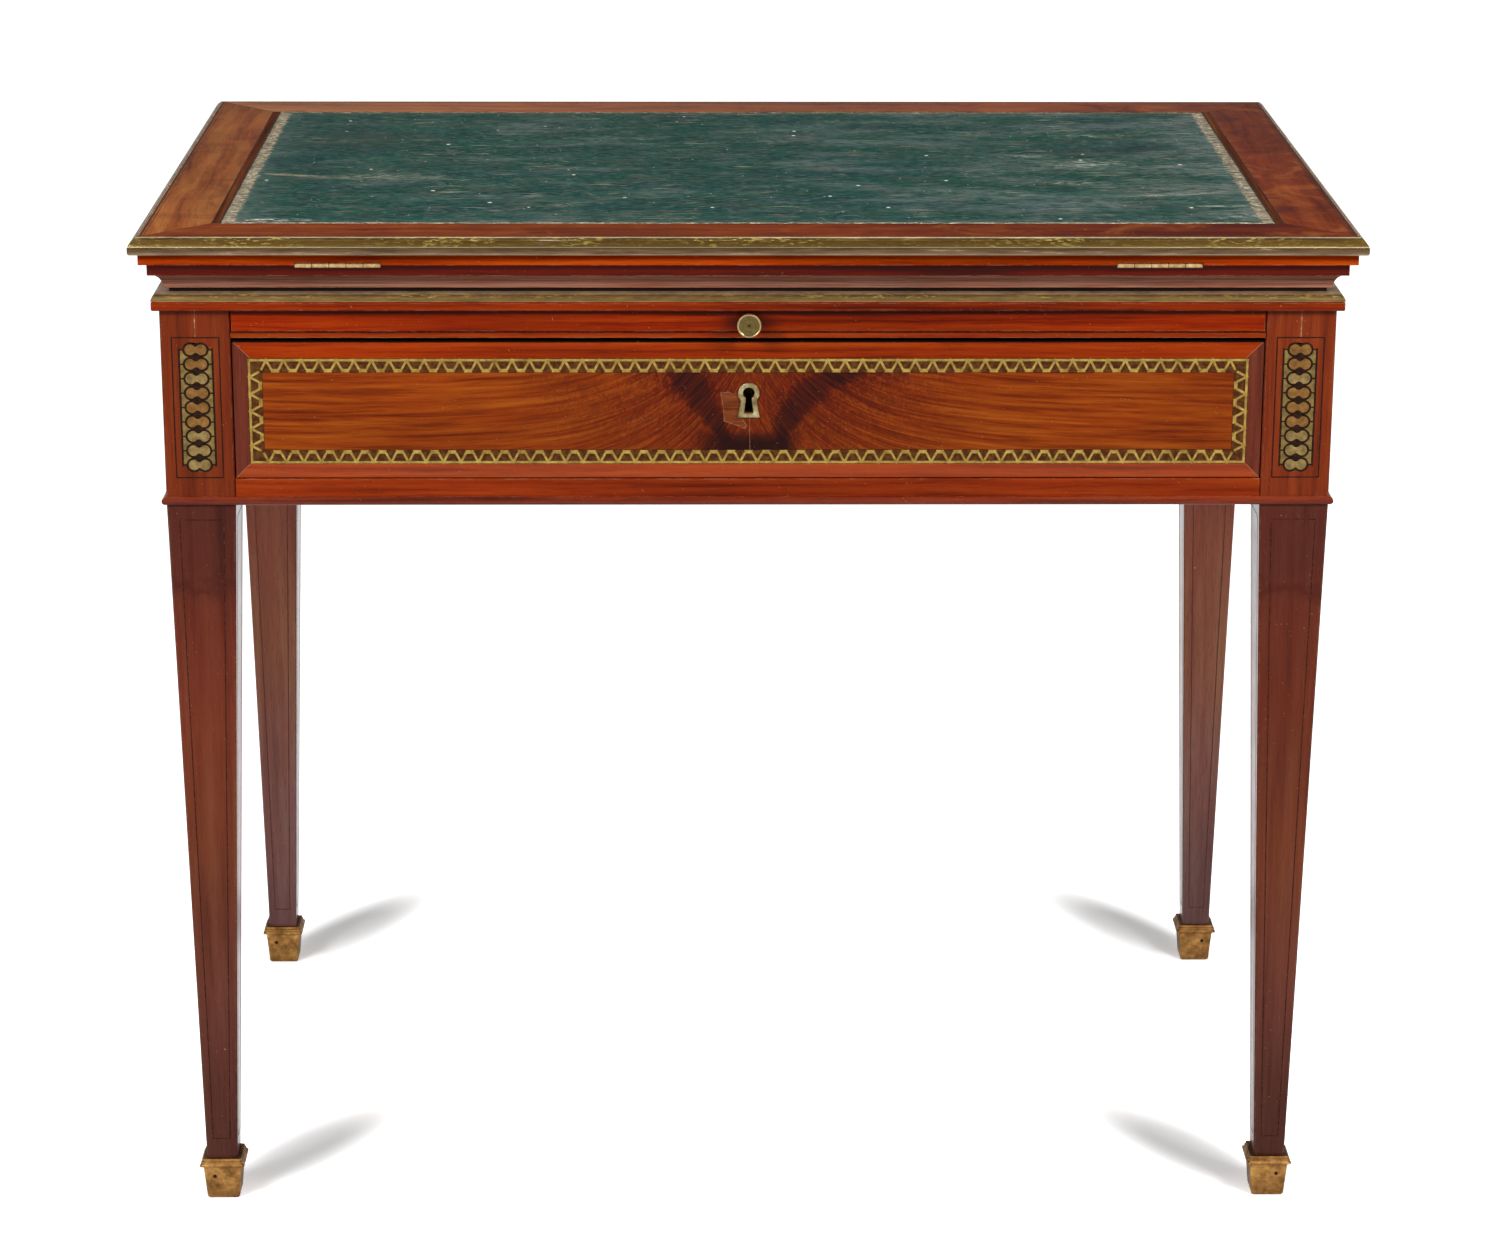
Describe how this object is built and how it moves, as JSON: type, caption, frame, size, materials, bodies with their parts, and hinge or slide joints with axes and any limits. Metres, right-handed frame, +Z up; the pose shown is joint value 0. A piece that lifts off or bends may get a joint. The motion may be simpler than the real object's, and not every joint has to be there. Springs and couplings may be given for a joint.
{
  "type": "drafting table",
  "caption": "Drafting table with a leather-lined board that rises on toothed racks and tilts on an easel, over a writing slide, a locking drawer and tapered legs in brass feet.",
  "frame": {"origin": "on the floor under the middle of the table", "axes": "+Z up, +X along the width towards the end with the crank socket, -Y towards the drawer's front"},
  "size_m": [0.929, 0.595, 0.7953],
  "materials": {
    "leg_wood": "dark French-polished mahogany",
    "case_wood": "French-polished figured mahogany",
    "drawer_wood": "French-polished flame mahogany",
    "slide_wood": "French-polished mahogany",
    "moulding_wood": "French-polished mahogany moulding",
    "border_wood": "worn polished mahogany",
    "inside_wood": "plain waxed oak",
    "leather": "worn dark green leather with gilt tooling",
    "edge_brass": "aged brass moulding",
    "foot_brass": "tarnished cast brass",
    "inlay_brass": "flush brass inlay",
    "hardware_brass": "polished brass fittings",
    "steel": "filed and oiled steel"
  },
  "bodies": {
    "case": {"leg_front_left": "leg_wood", "leg_front_right": "leg_wood", "leg_rear_left": "leg_wood", "leg_rear_right": "leg_wood", "sabot_front_left": "foot_brass", "sabot_front_right": "foot_brass", "sabot_rear_left": "foot_brass", "sabot_rear_right": "foot_brass", "side_panel_left": "case_wood", "side_panel_right": "case_wood", "back_panel": "case_wood", "lower_rail": "case_wood", "base_bead": "moulding_wood", "bottom_board": "inside_wood", "dust_board": "case_wood", "divider_left": "inside_wood", "divider_right": "inside_wood", "rack_guide_left": "inside_wood", "rack_guide_right": "inside_wood", "case_top_board": "case_wood", "case_brass_rim": "edge_brass", "post_inlay_left": "inlay_brass", "post_inlay_right": "inlay_brass", "crank_bush": "hardware_brass", "pawl_screw": "steel"},
    "top_frame": {"frame_panel": "inside_wood", "frame_moulding": "moulding_wood", "notched_rail_left": "inside_wood", "notched_rail_right": "inside_wood", "rack_left": "steel", "rack_right": "steel", "hinge_lower_left": "hardware_brass", "hinge_lower_right": "hardware_brass"},
    "board": {"board_core": "inside_wood", "board_frame": "border_wood", "board_brass_edge": "edge_brass", "leather_lining": "leather", "hinge_upper_left": "hardware_brass", "hinge_upper_right": "hardware_brass", "prop_bracket_left": "inside_wood", "prop_bracket_right": "inside_wood"},
    "easel": {"easel_prop": "inside_wood"},
    "slide": {"writing_slide": "slide_wood", "slide_knob": "hardware_brass"},
    "drawer": {"drawer_front": "drawer_wood", "drawer_side_left": "inside_wood", "drawer_side_right": "inside_wood", "drawer_back": "inside_wood", "drawer_bottom": "inside_wood", "drawer_inlay_band": "inlay_brass", "escutcheon": "hardware_brass", "lock_case": "hardware_brass"},
    "bolt": {"lock_bolt": "steel"},
    "arbor": {"arbor": "steel", "pinion_left": "steel", "pinion_right": "steel", "ratchet_wheel": "steel"},
    "pawl": {"pawl": "steel"}
  },
  "joints": [
    {"name": "top_rise", "type": "slide", "parent": "case", "child": "top_frame", "axis": [0, 0, 1], "range_m": [0, 0.09425]},
    {"name": "arbor_turn", "type": "hinge", "parent": "case", "child": "arbor", "pos_m": [0, 0.01, 0.69405], "axis": [1, 0, 0], "range_deg": [0, 450.01]},
    {"name": "pawl_swing", "type": "hinge", "parent": "case", "child": "pawl", "pos_m": [0.3717, 0.04373, 0.69247], "axis": [1, 0, 0], "range_deg": [0, 130]},
    {"name": "board_tilt", "type": "hinge", "parent": "top_frame", "child": "board", "pos_m": [0, -0.2875, 0.7732], "axis": [1, 0, 0], "range_deg": [0, 60]},
    {"name": "prop_swing", "type": "hinge", "parent": "board", "child": "easel", "pos_m": [0, -0.0325, 0.7732], "axis": [1, 0, 0], "range_deg": [-120.01, 0]},
    {"name": "slide_pull", "type": "slide", "parent": "case", "child": "slide", "axis": [0, -1, 0], "range_m": [0, 0.2]},
    {"name": "drawer_pull", "type": "slide", "parent": "case", "child": "drawer", "axis": [0, -1, 0], "range_m": [0, 0.19]},
    {"name": "lock_throw", "type": "slide", "parent": "drawer", "child": "bolt", "axis": [0, 0, 1], "range_m": [0, 0.005]}
  ],
  "couplings": [
    {"joint": "arbor_turn", "follows": "top_rise", "rad_per_m": 83.333},
    {"joint": "prop_swing", "follows": "board_tilt", "ratio": -2}
  ]
}
